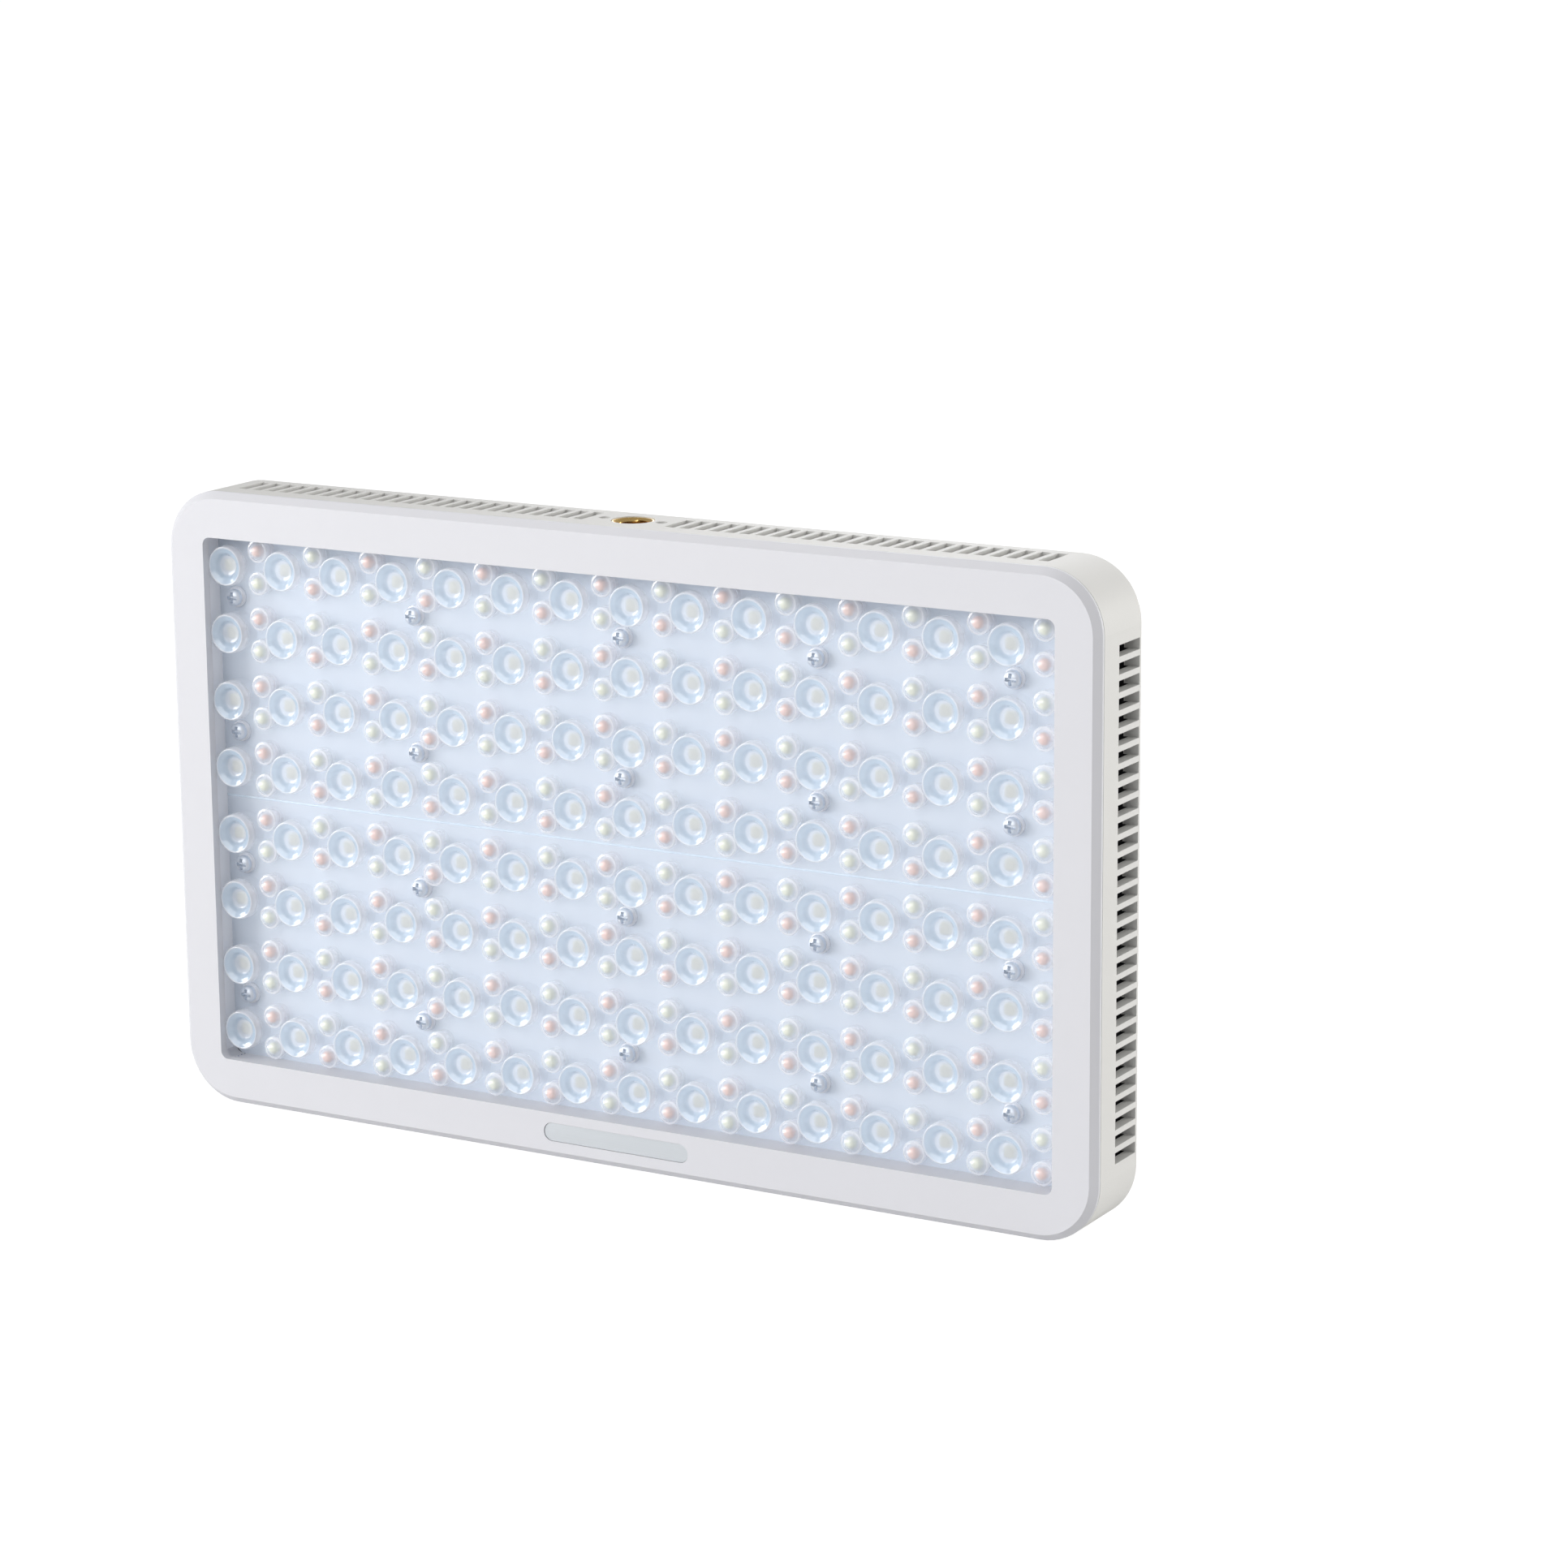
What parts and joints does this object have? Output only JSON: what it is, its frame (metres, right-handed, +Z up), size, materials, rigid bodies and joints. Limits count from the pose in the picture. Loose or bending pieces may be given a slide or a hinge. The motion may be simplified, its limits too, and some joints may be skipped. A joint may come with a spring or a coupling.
{
  "type": "led panel light",
  "caption": "Thin rectangular studio light: white bezel round a grid of clear lenses, slotted rim, threaded inserts above and below, controls and battery plates behind.",
  "frame": {"origin": "under the middle of the light, at the level of its flat bottom edge, half way through its depth", "axes": "+X along the width, +Y from the lens face to the back, +Z up"},
  "size_m": [0.26, 0.048, 0.1584],
  "materials": {
    "bezel_white": "fine satin moulding",
    "badge_silver": "satin",
    "lens_clear": "clear polished acrylic",
    "screw_steel": "machined",
    "spacer_nylon": "natural nylon",
    "board_white": "white solder mask",
    "emitter_main": "pale yellow phosphor",
    "emitter_warm": "orange phosphor",
    "emitter_cool": "yellow phosphor",
    "thermal_silicone": "soft silicone",
    "sink_aluminium": "extruded, bead blasted",
    "housing_white": "fine matt moulding",
    "insert_brass": "turned",
    "panel_grey": "fine spark texture",
    "display_clear": "polished",
    "display_dark": "glossy black",
    "circuit_green": "solder mask",
    "part_black": "moulded",
    "encoder_steel": "stamped",
    "stator_copper": "enamelled copper wire",
    "fan_black": "moulded",
    "rocker_black": "gloss",
    "plate_grey": "fine matt moulding",
    "latch_grey": "satin",
    "contact_gold": "gold plated",
    "flat_cable_grey": "vinyl",
    "button_rubber": "silicone",
    "knob_grey": "satin",
    "shaft_steel": "turned"
  },
  "bodies": {
    "panel": {"front_bezel": "bezel_white", "badge_plate": "badge_silver", "lens_plate_upper": "lens_clear", "lens_plate_lower": "lens_clear", "lens_screws": "screw_steel", "bezel_screws": "screw_steel", "heat_sink_screws": "screw_steel", "cover_screws": "screw_steel", "control_board_screws": "screw_steel", "fan_screws": "screw_steel", "board_screws": "screw_steel", "battery_plate_screws": "screw_steel", "lens_spacers": "spacer_nylon", "led_board_upper": "board_white", "led_board_lower": "board_white", "main_emitters": "emitter_main", "warm_emitters": "emitter_warm", "cool_emitters": "emitter_cool", "thermal_pads": "thermal_silicone", "heat_sink": "sink_aluminium", "rear_housing": "housing_white", "rear_cover": "housing_white", "top_thread_insert": "insert_brass", "bottom_thread_insert": "insert_brass", "board_standoffs": "insert_brass", "control_panel": "panel_grey", "display_window": "display_clear", "lcd_module": "display_dark", "control_board": "circuit_green", "driver_board": "circuit_green", "battery_board": "circuit_green", "tact_switches": "part_black", "fan_frame": "part_black", "dc_jack": "part_black", "rocker_housing": "part_black", "board_coils": "part_black", "led_connectors": "part_black", "board_capacitors": "part_black", "encoder_bodies": "encoder_steel", "usb_socket": "encoder_steel", "latch_springs": "encoder_steel", "fan_stator": "stator_copper", "battery_plate_left": "plate_grey", "battery_plate_right": "plate_grey", "battery_contacts": "contact_gold", "led_ribbons": "flat_cable_grey", "battery_leads": "flat_cable_grey"},
    "intensity_dial": {"intensity_knob": "knob_grey", "intensity_shaft": "shaft_steel"},
    "colour_dial": {"colour_knob": "knob_grey", "colour_shaft": "shaft_steel"},
    "menu_key": {"menu_button": "button_rubber"},
    "mode_key": {"mode_button": "button_rubber"},
    "effects_key": {"effects_button": "button_rubber"},
    "wireless_key": {"wireless_button": "button_rubber"},
    "fan": {"fan_rotor": "fan_black", "fan_shaft": "encoder_steel"},
    "rocker": {"power_rocker": "rocker_black"},
    "left_latch": {"latch_button_left": "latch_grey"},
    "right_latch": {"latch_button_right": "latch_grey"}
  },
  "joints": [
    {"name": "intensity_turn", "type": "hinge", "parent": "panel", "child": "intensity_dial", "pos_m": [-0.015, 0.019, 0.082], "axis": [0, 1, 0], "continuous": true},
    {"name": "colour_turn", "type": "hinge", "parent": "panel", "child": "colour_dial", "pos_m": [0.015, 0.019, 0.082], "axis": [0, 1, 0], "continuous": true},
    {"name": "menu_press", "type": "slide", "parent": "panel", "child": "menu_key", "axis": [0, -1, 0], "range_m": [0, 0.0005], "stiffness_N_per_m": 1500, "springref_m": -0.0005},
    {"name": "mode_press", "type": "slide", "parent": "panel", "child": "mode_key", "axis": [0, -1, 0], "range_m": [0, 0.0005], "stiffness_N_per_m": 1500, "springref_m": -0.0005},
    {"name": "effects_press", "type": "slide", "parent": "panel", "child": "effects_key", "axis": [0, -1, 0], "range_m": [0, 0.0005], "stiffness_N_per_m": 1500, "springref_m": -0.0005},
    {"name": "wireless_press", "type": "slide", "parent": "panel", "child": "wireless_key", "axis": [0, -1, 0], "range_m": [0, 0.0005], "stiffness_N_per_m": 1500, "springref_m": -0.0005},
    {"name": "fan_spin", "type": "hinge", "parent": "panel", "child": "fan", "pos_m": [0, 0.008, 0.037], "axis": [0, 1, 0], "continuous": true},
    {"name": "power_switch", "type": "hinge", "parent": "panel", "child": "rocker", "pos_m": [0.066, 0.015, 0.026], "axis": [0, 0, 1], "range_deg": [-16, 0]},
    {"name": "left_release", "type": "slide", "parent": "panel", "child": "left_latch", "axis": [0, -1, 0], "range_m": [0, 0.0024], "stiffness_N_per_m": 600, "springref_m": -0.001},
    {"name": "right_release", "type": "slide", "parent": "panel", "child": "right_latch", "axis": [0, -1, 0], "range_m": [0, 0.0024], "stiffness_N_per_m": 600, "springref_m": -0.001}
  ]
}
